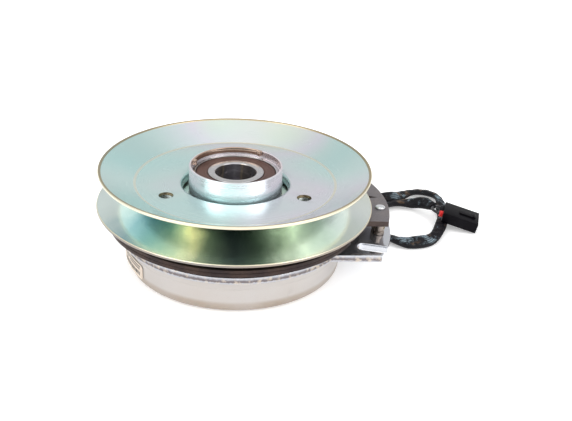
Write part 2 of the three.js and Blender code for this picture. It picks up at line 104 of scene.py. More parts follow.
class Nodes:
    """Short calls for building one material's node tree. The material joins MATERIALS under its name."""

    def __init__(self, name):
        self.material = bpy.data.materials.new(name)
        self.material.use_nodes = True
        MATERIALS[name] = self.material
        self.tree = self.material.node_tree
        self.shader = self.tree.nodes["Principled BSDF"]
        self.place = self.add("ShaderNodeTexCoord").outputs["Object"]

    def add(self, kind, **settings):
        node = self.tree.nodes.new(kind)
        for key, value in settings.items():
            setattr(node, key, value)
        return node

    def link(self, a, b):
        self.tree.links.new(a, b)

    def value(self, socket, what):
        if isinstance(what, (int, float, tuple, list)):
            self.shader.inputs[socket].default_value = what
        else:
            self.link(what, self.shader.inputs[socket])

    def noise(self, scale, detail=4.0, rough=0.6, stretch=None):
        node = self.add("ShaderNodeTexNoise")
        node.inputs["Scale"].default_value = scale
        node.inputs["Detail"].default_value = detail
        node.inputs["Roughness"].default_value = rough
        self.link(self.mapped(stretch) if stretch else self.place, node.inputs["Vector"])
        return node.outputs["Fac"]

    def mapped(self, stretch):
        node = self.add("ShaderNodeMapping")
        node.inputs["Scale"].default_value = stretch
        self.link(self.place, node.inputs["Vector"])
        return node.outputs["Vector"]

    def ramp(self, fac, stops):
        node = self.add("ShaderNodeValToRGB")
        ramp = node.color_ramp
        while len(ramp.elements) < len(stops):
            ramp.elements.new(0.5)
        for element, (place, color) in zip(ramp.elements, stops):
            element.position = place
            element.color = (*color, 1) if len(color) == 3 else color
        self.link(fac, node.inputs["Fac"])
        return node.outputs["Color"]

    def scaled(self, fac, low, high, from_low=0.3, from_high=0.7):
        node = self.add("ShaderNodeMapRange")
        for key, number in (
                ("From Min", from_low), ("From Max", from_high), ("To Min", low), ("To Max", high)):
            node.inputs[key].default_value = number
        self.link(fac, node.inputs["Value"])
        return node.outputs["Result"]

    def mix(self, fac, a, b, blend="MIX"):
        node = self.add("ShaderNodeMix", data_type="RGBA", blend_type=blend)
        for socket, what in ((node.inputs[0], fac), (node.inputs[6], a), (node.inputs[7], b)):
            if isinstance(what, (int, float)):
                socket.default_value = what
            elif isinstance(what, (tuple, list)):
                socket.default_value = (*what, 1)
            else:
                self.link(what, socket)
        return node.outputs[2]

    def math(self, operation, a, b=None, c=None):
        node = self.add("ShaderNodeMath", operation=operation)
        for i, what in enumerate(x for x in (a, b, c) if x is not None):
            if isinstance(what, (int, float)):
                node.inputs[i].default_value = what
            else:
                self.link(what, node.inputs[i])
        return node.outputs[0]

    def bump(self, height, strength, distance=0.0002):
        node = self.add("ShaderNodeBump")
        node.inputs["Strength"].default_value = strength
        node.inputs["Distance"].default_value = distance
        self.link(height, node.inputs["Height"])
        self.link(node.outputs["Normal"], self.shader.inputs["Normal"])

    def polar(self):
        """Radius, angle and height of the shaded point about the shaft's axis."""
        split = self.add("ShaderNodeSeparateXYZ")
        self.link(self.place, split.inputs[0])
        x, y, z = split.outputs
        radius = self.math(
            "SQRT", self.math("ADD", self.math("MULTIPLY", x, x), self.math("MULTIPLY", y, y)))
        return radius, self.math("ARCTAN2", y, x), z


# ---------- materials ----------
def turned_rings(n, scale):
    """Fine concentric lines, such as turning or spinning leaves."""
    radius, _, height = n.polar()
    along = n.add("ShaderNodeCombineXYZ")
    n.link(n.math("MULTIPLY", radius, scale), along.inputs[0])
    n.link(n.math("MULTIPLY", height, scale), along.inputs[1])
    lines = n.add("ShaderNodeTexNoise")
    lines.inputs["Scale"].default_value = 1.0
    lines.inputs["Detail"].default_value = 3.0
    n.link(along.outputs[0], lines.inputs["Vector"])
    return lines.outputs["Fac"]


def plating(name, pale, blush, tint, edge, rough=0.24, brushed=0.0, painted_bands=None):
    """Clear zinc plating: a pale metal whose passivation film drifts in colour from place to place.

    With bands round the shaft, the colour also changes round the shaft in fixed light and dark stretches:
    painted reflections and painted highlights that stand in for what the metal mirrors."""
    n = Nodes(name)
    broad = n.noise(9, 1.5, 0.45)
    drift = n.noise(20, 2.0, 0.5)
    film = n.ramp(broad, [(0.30, tint), (0.45, pale), (0.56, blush), (0.68, edge)])
    film = n.mix(n.scaled(drift, 0.0, 0.40), film, pale)
    # Painted reflections and highlights: light and dark stretches fixed round the shaft, laid over the film.
    if painted_bands:
        _, angle, _ = n.polar()
        turn = n.math("ADD", n.math("DIVIDE", angle, 2 * math.pi), 0.5)
        wobble = n.math("ADD", turn, n.scaled(n.noise(26, 3.0, 0.6), -0.016, 0.016))
        film = n.mix(0.86, film, n.ramp(wobble, painted_bands))
    cloud = n.noise(110, 3.0, 0.55)
    film = n.mix(n.scaled(cloud, 0.0, 0.05), film, tuple(0.72 * c for c in tint))
    n.value("Base Color", film)
    n.value("Metallic", 0.92)
    lines = turned_rings(n, 2600)
    n.value(
        "Roughness",
        n.math("ADD", n.scaled(cloud, rough - 0.01, rough + 0.02), n.scaled(lines, -0.02, 0.03)))
    if brushed:
        n.value("Anisotropic", brushed)
        n.link(
            n.add("ShaderNodeTangent", direction_type="RADIAL", axis="Z").outputs[0],
            n.shader.inputs["Tangent"])
    n.bump(lines, 0.03, 0.00005)


def worn_steel(name, base, rust, rough, metallic=0.85, grain=700, ring=False):
    n = Nodes(name)
    patches = n.noise(55, 6.0, 0.65)
    fine = n.noise(grain, 4.0, 0.7)
    color = n.mix(n.scaled(patches, 0.0, 1.0, 0.42, 0.66), base, rust)
    color = n.mix(n.scaled(fine, 0.0, 0.35), color, tuple(0.55 * c for c in base))
    n.value("Base Color", color)
    n.value("Metallic", metallic)
    n.value("Roughness", n.scaled(fine, rough - 0.07, rough + 0.12))
    height = turned_rings(n, 1800) if ring else fine
    n.bump(height, 0.22, 0.00012)


def coated_shell(name):
    """The drawn shell: a thin satin coating over steel with fine dark specks, browner and darker towards the
    lower corner: a painted reflection of the floor and painted shade on the down-facing corner.
    """
    n = Nodes(name)
    _, _, height = n.polar()
    cloud = n.noise(26, 5.0, 0.6)
    # Painted reflection and shade: the colour turns brown and dark towards the bottom of the shell.
    low = n.ramp(
        n.scaled(height, 0, 1, 0.0005, 0.0085),
        [(0.0, (0.34, 0.27, 0.21)), (0.72, (0.41, 0.34, 0.28)), (1.0, (0.54, 0.50, 0.47))])
    color = n.mix(n.scaled(cloud, 0.0, 0.35), low, (0.62, 0.61, 0.61))
    speck = n.noise(1500, 2.0)
    color = n.mix(n.scaled(speck, 0.0, 0.25, 0.62, 0.75), color, (0.30, 0.24, 0.18))
    n.value("Base Color", color)
    n.value("Metallic", 0.55)
    n.value("Roughness", n.scaled(cloud, 0.34, 0.46))
    n.bump(n.noise(420, 4.0), 0.12, 0.0001)


def sheared_edge(name, low, high):
    """The cut edge of the bright plate: shiny at both rims, dark and torn along the middle."""
    n = Nodes(name)
    _, _, height = n.polar()
    share = n.math(
        "ADD", n.scaled(height, 0.0, 1.0, low / 1000, high / 1000),
        n.scaled(n.noise(420, 4.0, 0.7), -0.09, 0.09))
    band = n.ramp(
        share,
        [
            (0.0, (0.46, 0.46, 0.50)), (0.20, (0.52, 0.52, 0.56)), (0.32, (0.17, 0.15, 0.155)),
            (0.56, (0.20, 0.18, 0.185)), (0.68, (0.34, 0.34, 0.37)), (1.0, (0.66, 0.67, 0.72))])
    n.value(
        "Base Color",
        n.mix(n.scaled(n.noise(260, 3.0, 0.6), 0.0, 0.6, 0.5, 0.64), band, (0.70, 0.60, 0.48)))
    n.value("Metallic", 0.9)
    n.value("Roughness", 0.28)
    n.bump(n.noise(700, 4.0, 0.7), 0.4, 0.0002)


def plastic(name, base, rough, grain=900, bump=0.15, coat=0.0, metallic=0.0, gloss=0.5):
    n = Nodes(name)
    fine = n.noise(grain, 3.0, 0.6)
    broad = n.noise(60, 3.0, 0.5)
    color = n.mix(n.scaled(broad, 0.0, 0.5), base, tuple(min(1, 1.7 * c + 0.006) for c in base))
    n.value("Base Color", color)
    n.value("Metallic", metallic)
    n.value("Roughness", n.scaled(fine, rough - 0.06, rough + 0.08))
    n.value("Coat Weight", coat)
    n.value("Specular IOR Level", gloss)
    n.bump(fine, bump, 0.00006)


def winding(name):
    """Enamelled wire laid in turns round the coil."""
    n = Nodes(name)
    _, _, height = n.polar()
    turns = n.math("SINE", n.math("MULTIPLY", height, 2 * math.pi / 0.0011))
    color = n.mix(n.scaled(turns, 0.0, 1.0, -1, 1), (0.30, 0.11, 0.04), (0.62, 0.27, 0.10))
    n.value("Base Color", color)
    n.value("Metallic", 0.6)
    n.value("Roughness", 0.3)
    n.bump(turns, 0.5, 0.0003)


# Painted reflections in the groove round the shaft, as (share of a turn from -180 degrees, colour): pale,
# blue, gold and green stretches stand in for bright surroundings mirrored in the groove, and dark ones
# between stand in for dim ones, darkest at the front; the tints are partly the plating's own film.
GROOVE_PAINTED_REFLECTIONS = [
    (0.00, (0.80, 0.90, 0.88)), (0.07, (0.76, 0.86, 0.84)), (0.12, (0.34, 0.55, 0.60)),
    (0.16, (0.44, 0.62, 0.54)), (0.19, (0.92, 0.90, 0.66)), (0.215, (0.30, 0.35, 0.28)),
    (0.255, (0.075, 0.105, 0.11)), (0.285, (0.14, 0.19, 0.15)), (0.325, (0.90, 0.98, 0.86)),
    (0.37, (0.64, 0.73, 0.66)), (0.44, (0.76, 0.81, 0.81)), (0.52, (0.84, 0.88, 0.78)),
    (0.58, (0.40, 0.57, 0.58)), (0.64, (0.76, 0.82, 0.62)), (0.70, (0.16, 0.23, 0.19)),
    (0.76, (0.70, 0.80, 0.66)), (0.84, (0.42, 0.58, 0.60)), (0.92, (0.78, 0.84, 0.72)),
    (1.00, (0.80, 0.90, 0.88))]

# Painted highlights in the polished bore round the shaft, in the same form: narrow gold and white stripes
# stand in for lamps mirrored in the bore, and grey stretches stand in for its dimmer surroundings.
BORE_PAINTED_HIGHLIGHTS = [
    (0.00, (0.60, 0.60, 0.66)), (0.62, (0.34, 0.32, 0.34)), (0.678, (0.50, 0.44, 0.40)),
    (0.690, (1.00, 0.82, 0.56)), (0.706, (0.56, 0.54, 0.58)), (0.745, (0.62, 0.62, 0.70)),
    (0.750, (0.95, 0.92, 0.90)), (0.755, (0.62, 0.62, 0.70)), (0.842, (0.44, 0.42, 0.46)),
    (0.852, (1.00, 0.84, 0.58)), (0.864, (0.36, 0.32, 0.30)), (1.00, (0.60, 0.60, 0.66))]

plating(
    "zinc_top", (0.65, 0.82, 0.80), (0.80, 0.75, 0.84), (0.52, 0.82, 0.80), (0.78, 0.84, 0.72), 0.24, 0.55)
# A darker copy of the top plating for the faces round the opening by the hub: painted shade in the moat.
plating("zinc_moat_shade", (0.54, 0.78, 0.74), (0.60, 0.72, 0.74), (0.42, 0.74, 0.68), (0.62, 0.76, 0.64), 0.26)
plating("zinc_roll", (0.42, 0.35, 0.22), (0.46, 0.36, 0.22), (0.36, 0.36, 0.28), (0.50, 0.42, 0.26), 0.3)
# A pale beige copy of the plating for the crease: a painted highlight along the bend.
plating(
    "zinc_crease_highlight", (0.76, 0.80, 0.70), (0.80, 0.76, 0.66), (0.70, 0.80, 0.72), (0.80, 0.76, 0.62), 0.28)
# Dark dull zinc: the stop pin's colour, and painted shade on the lower lip's faces that do not point up.
plating("zinc_dull", (0.30, 0.27, 0.25), (0.34, 0.28, 0.24), (0.24, 0.24, 0.24), (0.38, 0.33, 0.26), 0.36)
# The groove's plating: green film tints with painted reflections round the shaft.
plating(
    "zinc_groove_film_and_reflections", (0.44, 0.55, 0.42), (0.52, 0.58, 0.46), (0.26, 0.45, 0.44), (0.52, 0.57, 0.30), 0.2,
    0.4, GROOVE_PAINTED_REFLECTIONS)
plating(
    "zinc_hub", (0.86, 0.86, 0.90), (0.92, 0.84, 0.90), (0.76, 0.86, 0.86), (0.94, 0.86, 0.74), 0.27, 0.4)
plating("zinc_lip", (0.84, 0.80, 0.62), (0.86, 0.78, 0.60), (0.80, 0.78, 0.62), (0.84, 0.80, 0.66), 0.34)
plating("zinc_plate", (0.60, 0.66, 0.74), (0.62, 0.62, 0.66), (0.44, 0.56, 0.70), (0.72, 0.72, 0.72), 0.11)
sheared_edge("zinc_edge", 25.0, 30.0)
plating(
    "copper_spring", (0.56, 0.42, 0.33), (0.66, 0.50, 0.40), (0.40, 0.32, 0.28), (0.90, 0.80, 0.70), 0.17)
plating("gold_zinc", (0.80, 0.66, 0.40), (0.84, 0.70, 0.46), (0.70, 0.58, 0.34), (0.86, 0.78, 0.56), 0.22)
plating("rivet_steel", (0.80, 0.83, 0.86), (0.80, 0.80, 0.82), (0.70, 0.78, 0.82), (0.82, 0.82, 0.78), 0.2)
coated_shell("field_steel")
worn_steel("brake_steel", (0.235, 0.215, 0.225), (0.28, 0.25, 0.24), 0.46, 0.7)
# Dark brown for the brake plate's cut edges; the spring studs use it too, as painted shade in the access
# holes.
worn_steel("brake_edge", (0.085, 0.062, 0.056), (0.13, 0.095, 0.08), 0.5, 0.7)
# The armature's near-black colour is partly dark rusty steel and partly painted shade from under the pulley's
# lower flange.
worn_steel("armature_steel", (0.032, 0.021, 0.021), (0.07, 0.042, 0.032), 0.48, 0.6)
worn_steel("rotor_steel", (0.16, 0.14, 0.13), (0.20, 0.13, 0.09), 0.42, 0.8, ring=True)
# Machined steel whose bands round the shaft are painted highlights and painted darker stretches.
plating(
    "machined_steel", (0.62, 0.60, 0.62), (0.68, 0.58, 0.44), (0.56, 0.57, 0.64), (0.72, 0.64, 0.48), 0.13,
    painted_bands=BORE_PAINTED_HIGHLIGHTS)
worn_steel("grey_steel", (0.22, 0.22, 0.23), (0.26, 0.22, 0.18), 0.4, 0.85)
worn_steel("spring_steel", (0.42, 0.44, 0.47), (0.36, 0.34, 0.32), 0.24, 0.95)
worn_steel("race_steel", (0.66, 0.66, 0.68), (0.60, 0.58, 0.55), 0.2, 1.0, ring=True)
worn_steel("bronze", (0.36, 0.24, 0.10), (0.28, 0.17, 0.08), 0.4, 0.9)
plastic("seal_rubber", (0.070, 0.034, 0.026), 0.45, gloss=0.35)
plastic("black_rubber", (0.007, 0.007, 0.009), 0.5, gloss=0.3)
plastic("red_rubber", (0.62, 0.012, 0.012), 0.42)
plastic("black_plastic", (0.002, 0.0015, 0.003), 0.36, gloss=0.08)
plastic("wire_black", (0.006, 0.006, 0.009), 0.3, coat=0.2)
plastic("potting", (0.05, 0.035, 0.03), 0.25, coat=0.3)
plastic("friction", (0.16, 0.11, 0.07), 0.8, grain=300, bump=0.5)
worn_steel("brass", (0.62, 0.52, 0.30), (0.50, 0.38, 0.20), 0.26, 1.0)
winding("winding")
plastic("label_film", (0.60, 0.50, 0.41), 0.4, coat=0.2)
plastic("label_ink", (0.03, 0.025, 0.02), 0.45)


# ---------- geometry helpers ----------
def keep(mesh, name, material, body, replaced=(), sharp=35):
    """Turns a bmesh or mesh in millimetres into a finished piece of the part."""
    if isinstance(mesh, bmesh.types.BMesh):
        data = bpy.data.meshes.new(name)
        mesh.to_mesh(data)
        mesh.free()
    else:
        data = mesh
        data.name = name
    data.transform(Matrix.Scale(0.001, 4))
    work = bmesh.new()
    work.from_mesh(data)
    bmesh.ops.remove_doubles(work, verts=work.verts, dist=1e-6)
    bmesh.ops.recalc_face_normals(work, faces=work.faces)
    limit = math.radians(sharp)
    for edge in work.edges:
        edge.smooth = not edge.is_manifold or edge.calc_face_angle(0.0) < limit
    for face in work.faces:
        face.smooth = True
    work.to_mesh(data)
    work.free()
    obj = bpy.data.objects.new(name, data)
    for one in material if isinstance(material, (list, tuple)) else [material]:
        data.materials.append(MATERIALS[one])
    bpy.context.scene.collection.objects.link(obj)
    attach(obj, body)
    if replaced:
        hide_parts(*([replaced] if isinstance(replaced, str) else replaced))
    return obj


def paint(obj, face, name):
    """Gives one face of a piece another of the piece's materials."""
    face.material_index = list(obj.data.materials).index(MATERIALS[name])


def rounded(points, radius=0.3, steps=3):
    """The closed outline again with every corner rounded, at most by radius."""
    result = []
    count = len(points)
    for i, here in enumerate(points):
        here = Vector(here)
        before, after = Vector(points[i - 1]), Vector(points[(i + 1) % count])
        a, b = before - here, after - here
        if a.length < 1e-6 or b.length < 1e-6:
            continue
        turn = a.angle(b)
        if turn > math.radians(165):
            result.append(tuple(here))
            continue
        cut = min(radius / math.tan(turn / 2), 0.45 * a.length, 0.45 * b.length)
        start, end = here + a.normalized() * cut, here + b.normalized() * cut
        for k in range(steps + 1):
            t = k / steps
            result.append(tuple((1 - t) ** 2 * start + 2 * t * (1 - t) * here + t * t * end))
    return result


def arc(cx, cy, r, start, end, steps):
    return [
        (cx + r * math.cos(math.radians(start + (end - start) * i / steps)),
         cy + r * math.sin(math.radians(start + (end - start) * i / steps)))
        for i in range(steps + 1)
    ]


def polar(radius, degrees):
    return radius * math.cos(math.radians(degrees)), radius * math.sin(math.radians(degrees))


def lathe(outline, steps=STEPS):
    """A closed outline of (radius, height) turned once round the axis."""
    mesh = bmesh.new()
    rings = []
    for i in range(steps):
        c, s = math.cos(2 * math.pi * i / steps), math.sin(2 * math.pi * i / steps)
        rings.append([mesh.verts.new((r * c, r * s, z)) for r, z in outline])
    for i in range(steps):
        a, b = rings[i], rings[(i + 1) % steps]
        for k in range(len(outline)):
            m = (k + 1) % len(outline)
            mesh.faces.new((a[k], b[k], b[m], a[m]))
    return mesh


def spun(outline, steps=24):
    """An outline that starts and ends on the axis, turned into a closed solid."""
    mesh = bmesh.new()
    top, bottom = mesh.verts.new((0, 0, outline[-1][1])), mesh.verts.new((0, 0, outline[0][1]))
    rings = []
    for i in range(steps):
        c, s = math.cos(2 * math.pi * i / steps), math.sin(2 * math.pi * i / steps)
        rings.append([mesh.verts.new((r * c, r * s, z)) for r, z in outline[1:-1]])
    for i in range(steps):
        a, b = rings[i], rings[(i + 1) % steps]
        mesh.faces.new((bottom, b[0], a[0]))
        mesh.faces.new((top, a[-1], b[-1]))
        for k in range(len(a) - 1):
            mesh.faces.new((a[k], b[k], b[k + 1], a[k + 1]))
    return mesh


def slab(outline, low, high, holes=(), bevel=0.35):
    """A flat plate with rounded edges, cut to an outline with holes in it."""
    curve = bpy.data.curves.new("outline", "CURVE")
    curve.dimensions = "2D"
    curve.fill_mode = "BOTH"
    curve.extrude = (high - low) / 2 - bevel
    curve.bevel_depth = bevel
    curve.bevel_resolution = 2
    curve.offset = -bevel
    for points in [outline, *holes]:
        spline = curve.splines.new("POLY")
        spline.points.add(len(points) - 1)
        for point, (x, y) in zip(spline.points, points):
            point.co = (x, y, 0, 1)
        spline.use_cyclic_u = True
    obj = bpy.data.objects.new("outline", curve)
    mesh = bpy.data.meshes.new_from_object(obj)
    bpy.data.objects.remove(obj)
    bpy.data.curves.remove(curve)
    mesh.transform(Matrix.Translation((0, 0, (low + high) / 2)))
    return mesh


def cut_away(obj, tool, width=0.00025):
    """Cuts a bmesh in millimetres out of a piece and rounds the new edges."""
    data = bpy.data.meshes.new("cutter")
    tool.to_mesh(data)
    tool.free()
    data.transform(Matrix.Scale(0.001, 4))
    cutter = bpy.data.objects.new("cutter", data)
    bpy.context.scene.collection.objects.link(cutter)
    hole = obj.modifiers.new("cut", "BOOLEAN")
    hole.object = cutter
    hole.solver = "EXACT"
    bpy.context.view_layer.update()
    made = bpy.data.meshes.new_from_object(obj.evaluated_get(bpy.context.evaluated_depsgraph_get()))
    obj.modifiers.clear()
    obj.data = made
    bpy.data.objects.remove(cutter)
    if width:
        edges = obj.modifiers.new("rounded edges", "BEVEL")
        edges.width = width
        edges.segments = 2
        edges.limit_method = "ANGLE"
        edges.angle_limit = math.radians(50)
    return obj


def prism(outlines, low, high):
    """Upright prisms over closed outlines, for cutting."""
    mesh = bmesh.new()
    for outline in outlines:
        lower = [mesh.verts.new((x, y, low)) for x, y in outline]
        upper = [mesh.verts.new((x, y, high)) for x, y in outline]
        mesh.faces.new(lower[::-1])
        mesh.faces.new(upper)
        for i in range(len(outline)):
            k = (i + 1) % len(outline)
            mesh.faces.new((lower[i], lower[k], upper[k], upper[i]))
    return mesh


def circle(x, y, r, steps=48):
    return arc(x, y, r, 0, 360, steps)[:-1]


def round_holes(places):
    """Outlines of the holes that a dimension such as ACCESS describes."""
    return [circle(*polar(places["at"], a), places["r"], places["steps"]) for a in places["angles"]]


# ---------- lead ----------
LEAD_LINE = [
    (82.9, 33.5, 13.0), (88.6, 35.7, 12.0), (95.0, 37.3, 8.8), (102.0, 37.4, 5.4), (109.2, 35.0, 3.7),
    (116.4, 29.8, 3.4), (124.0, 23.8, 3.4), (133.0, 20.4, 3.4), (142.2, 21.8, 3.4), (150.8, 29.4, 3.4),
    (157.8, 42.0, 3.4), (162.8, 56.0, 3.4), (166.6, 70.8, 3.4), (168.6, 84.6, 3.4), (169.0, 97.0, 3.4),
    (167.2, 105.2, 3.4), (161.7, 111.0, 3.4), (154.0, 113.0, 3.4), (146.4, 111.0, 3.4), (139.3, 106.0, 3.4),
    (131.8, 100.6, 3.4), (123.2, 97.8, 3.4), (114.6, 98.0, 3.4), (106.8, 100.6, 3.4), (99.0, 102.2, 3.4),
    (91.2, 101.0, 3.4), (84.9, 96.6, 3.4), (81.6, 89.6, 3.4), (82.4, 81.8, 3.4), (87.0, 75.6, 3.4),
    (94.2, 72.4, 3.4), (101.9, 73.2, 3.4), (109.4, 77.2, 3.4), (118.4, 83.8, 3.4), (128.6, 88.9, 3.4),
    (138.6, 89.9, 3.8), (147.4, 86.2, 5.4), (154.2, 79.0, 8.2), (158.8, 71.8, 9.8),
]
EXIT = {"angle": 22, "z": 13.0}
LEAD_WIDTH, LEAD_THICK = 9.8, 5.2
WIRE_D = 2.2
WAY = 5.2
CONNECTOR = {"at": (164.4, 60.3, 10.9), "yaw": -15, "pitch": 13, "length": 28, "width": 22, "height": 8.2}


def smooth_line(points, step):
    """Centripetal Catmull-Rom points about step apart, as three.js lays the CAD's tube."""
    p = [Vector(q) for q in points]
    p = [2 * p[0] - p[1], *p, 2 * p[-1] - p[-2]]
    line = []
    for i in range(1, len(p) - 2):
        a, b, c, d = p[i - 1:i + 3]
        t1 = (b - a).length ** 0.5
        t2 = t1 + (c - b).length ** 0.5
        t3 = t2 + (d - c).length ** 0.5
        count = max(2, round((c - b).length / step))
        for k in range(count):
            t = t1 + (t2 - t1) * k / count
            a1 = a * ((t1 - t) / t1) + b * (t / t1)
            a2 = b * ((t2 - t) / (t2 - t1)) + c * ((t - t1) / (t2 - t1))
            a3 = c * ((t3 - t) / (t3 - t2)) + d * ((t - t2) / (t3 - t2))
            b1 = a1 * ((t2 - t) / t2) + a2 * (t / t2)
            b2 = a2 * ((t3 - t) / (t3 - t1)) + a3 * ((t - t1) / (t3 - t1))
            line.append(b1 * ((t2 - t) / (t2 - t1)) + b2 * ((t - t1) / (t2 - t1)))
    line.append(Vector(p[-2]))
    return line


def swept(line, section, sides, uv=False):
    """A tube along a line. section(share, angle) gives across and up offsets from the line."""
    mesh = bmesh.new()
    layer = mesh.loops.layers.uv.new("along") if uv else None
    rings, far, travelled = [], [0.0], 0.0
    for a, b in zip(line, line[1:]):
        travelled += (b - a).length
        far.append(travelled)
    for i, here in enumerate(line):
        ahead = (line[min(i + 1, len(line) - 1)] - line[max(i - 1, 0)]).normalized()
        side = ahead.cross(Vector((0, 0, 1))).normalized()
        up = side.cross(ahead)
        row = []
        for k in range(sides):
            x, y = section(far[i], 2 * math.pi * k / sides, far[-1])
            row.append(mesh.verts.new(here + side * x + up * y))
        rings.append(row)
    for i in range(len(rings) - 1):
        for k in range(sides):
            m = (k + 1) % sides
            face = mesh.faces.new((rings[i][k], rings[i][m], rings[i + 1][m], rings[i + 1][k]))
            if uv:
                corners = ((k, i), (k + 1, i), (k + 1, i + 1), (k, i + 1))
                for loop, (around, along) in zip(face.loops, corners):
                    loop[layer].uv = (around / sides, far[along])
    mesh.faces.new(rings[0][::-1])
    mesh.faces.new(rings[-1])
    return mesh


def sleeve_section(s, angle, total):
    """A flat braid that rolls over as it goes and is round again where it leaves the boot."""
    share = min(1.0, s / 22)
    narrow = max(0.0, 1 - (total - s) / 9)
    roll = (0.62 * math.sin(s / 15.0 + 0.4) + 0.3 * math.sin(s / 6.4 + 1.0)) * share
    half_w = 3.0 + (LEAD_WIDTH / 2 - 3.0) * share - 1.2 * narrow
    half_t = 3.0 + (LEAD_THICK / 2 - 3.0) * share + 0.2 * narrow
    strands = 10 * angle
    lay = 2 * math.pi * s / 3.0
    braid = 0.12 * (abs(math.sin(strands / 2 + lay)) + abs(math.sin(strands / 2 - lay)))
    pucker = 0.24 * math.sin(s * 0.9 + 2 * math.sin(angle)) * share
    wires = 0.55 * share * math.cos(2 * angle) ** 2
    x = (half_w + braid - 0.1) * math.cos(angle)
    y = (half_t + braid - 0.1 - wires + pucker * max(0.0, math.sin(angle))) * math.sin(angle)
    across, up = x * math.cos(roll) - y * math.sin(roll), x * math.sin(roll) + y * math.cos(roll)
    lowest = math.hypot(half_w * math.sin(roll), half_t * math.cos(roll))
    return across, up + max(0.0, lowest - 3.3) * share


def braided(name):
    """Black expandable braid with a painted cold sheen: bluish colour painted where the flat filaments face
    up, standing in for their highlight.
    """
    n = Nodes(name)
    uv = n.add("ShaderNodeUVMap", uv_map="along")
    split = n.add("ShaderNodeSeparateXYZ")
    n.link(uv.outputs[0], split.inputs[0])
    around = n.math("MULTIPLY", split.outputs[0], 20 * math.pi)
    along = n.math("MULTIPLY", split.outputs[1], 2 * math.pi / 1.5)
    one = n.math("SINE", n.math("ADD", around, along))
    two = n.math("SINE", n.math("SUBTRACT", around, along))
    weave = n.math("MULTIPLY", one, two)
    patches = n.noise(70, 4.0, 0.7)
    # Painted highlight: the weave turns bluish where the surface faces up.
    facing = n.add("ShaderNodeSeparateXYZ")
    n.link(n.add("ShaderNodeNewGeometry").outputs["Normal"], facing.inputs[0])
    upward = n.scaled(facing.outputs[2], 0.0, 1.0, 0.35, 0.95)
    painted_sheen = n.math(
        "MULTIPLY", n.scaled(weave, 0.10, 1.0, -0.2, 0.9), n.scaled(patches, 0.0, 1.0, 0.54, 0.62))
    painted_sheen = n.math("MULTIPLY", painted_sheen, upward)
    color = n.mix(painted_sheen, (0.004, 0.0035, 0.006), (0.52, 0.68, 0.78))
    warm = n.math("MULTIPLY", n.scaled(n.noise(120, 3.0, 0.6), 0.0, 0.7, 0.60, 0.72), upward)
    n.value("Base Color", n.mix(warm, color, (0.22, 0.13, 0.07)))
    n.value("Roughness", n.scaled(patches, 0.5, 0.3))
    n.value("Specular IOR Level", 0.22)
    n.bump(weave, 0.6, 0.0002)


braided("sleeve")


def connector_place():
    yaw = Matrix.Rotation(math.radians(CONNECTOR["yaw"]), 4, "Z")
    pitch = Matrix.Rotation(math.radians(CONNECTOR["pitch"]), 4, "Y")
    return Matrix.Translation(CONNECTOR["at"]) @ (yaw @ pitch)


def cuboid(x, y, z, bevel=0.3):
    mesh = bmesh.new()
    size = Matrix.Diagonal((x[1] - x[0], y[1] - y[0], z[1] - z[0], 1))
    middle = Matrix.Translation(((x[0] + x[1]) / 2, (y[0] + y[1]) / 2, (z[0] + z[1]) / 2))
    bmesh.ops.create_cube(mesh, size=1, matrix=middle @ size)
    if bevel:
        bmesh.ops.bevel(mesh, geom=mesh.edges[:], offset=bevel, segments=3, affect="EDGES", profile=0.5)
    return mesh


def joined(meshes):
    whole = bmesh.new()
    for mesh in meshes:
        data = bpy.data.meshes.new("part")
        mesh.to_mesh(data)
        mesh.free()
        whole.from_mesh(data)
        bpy.data.meshes.remove(data)
    return whole


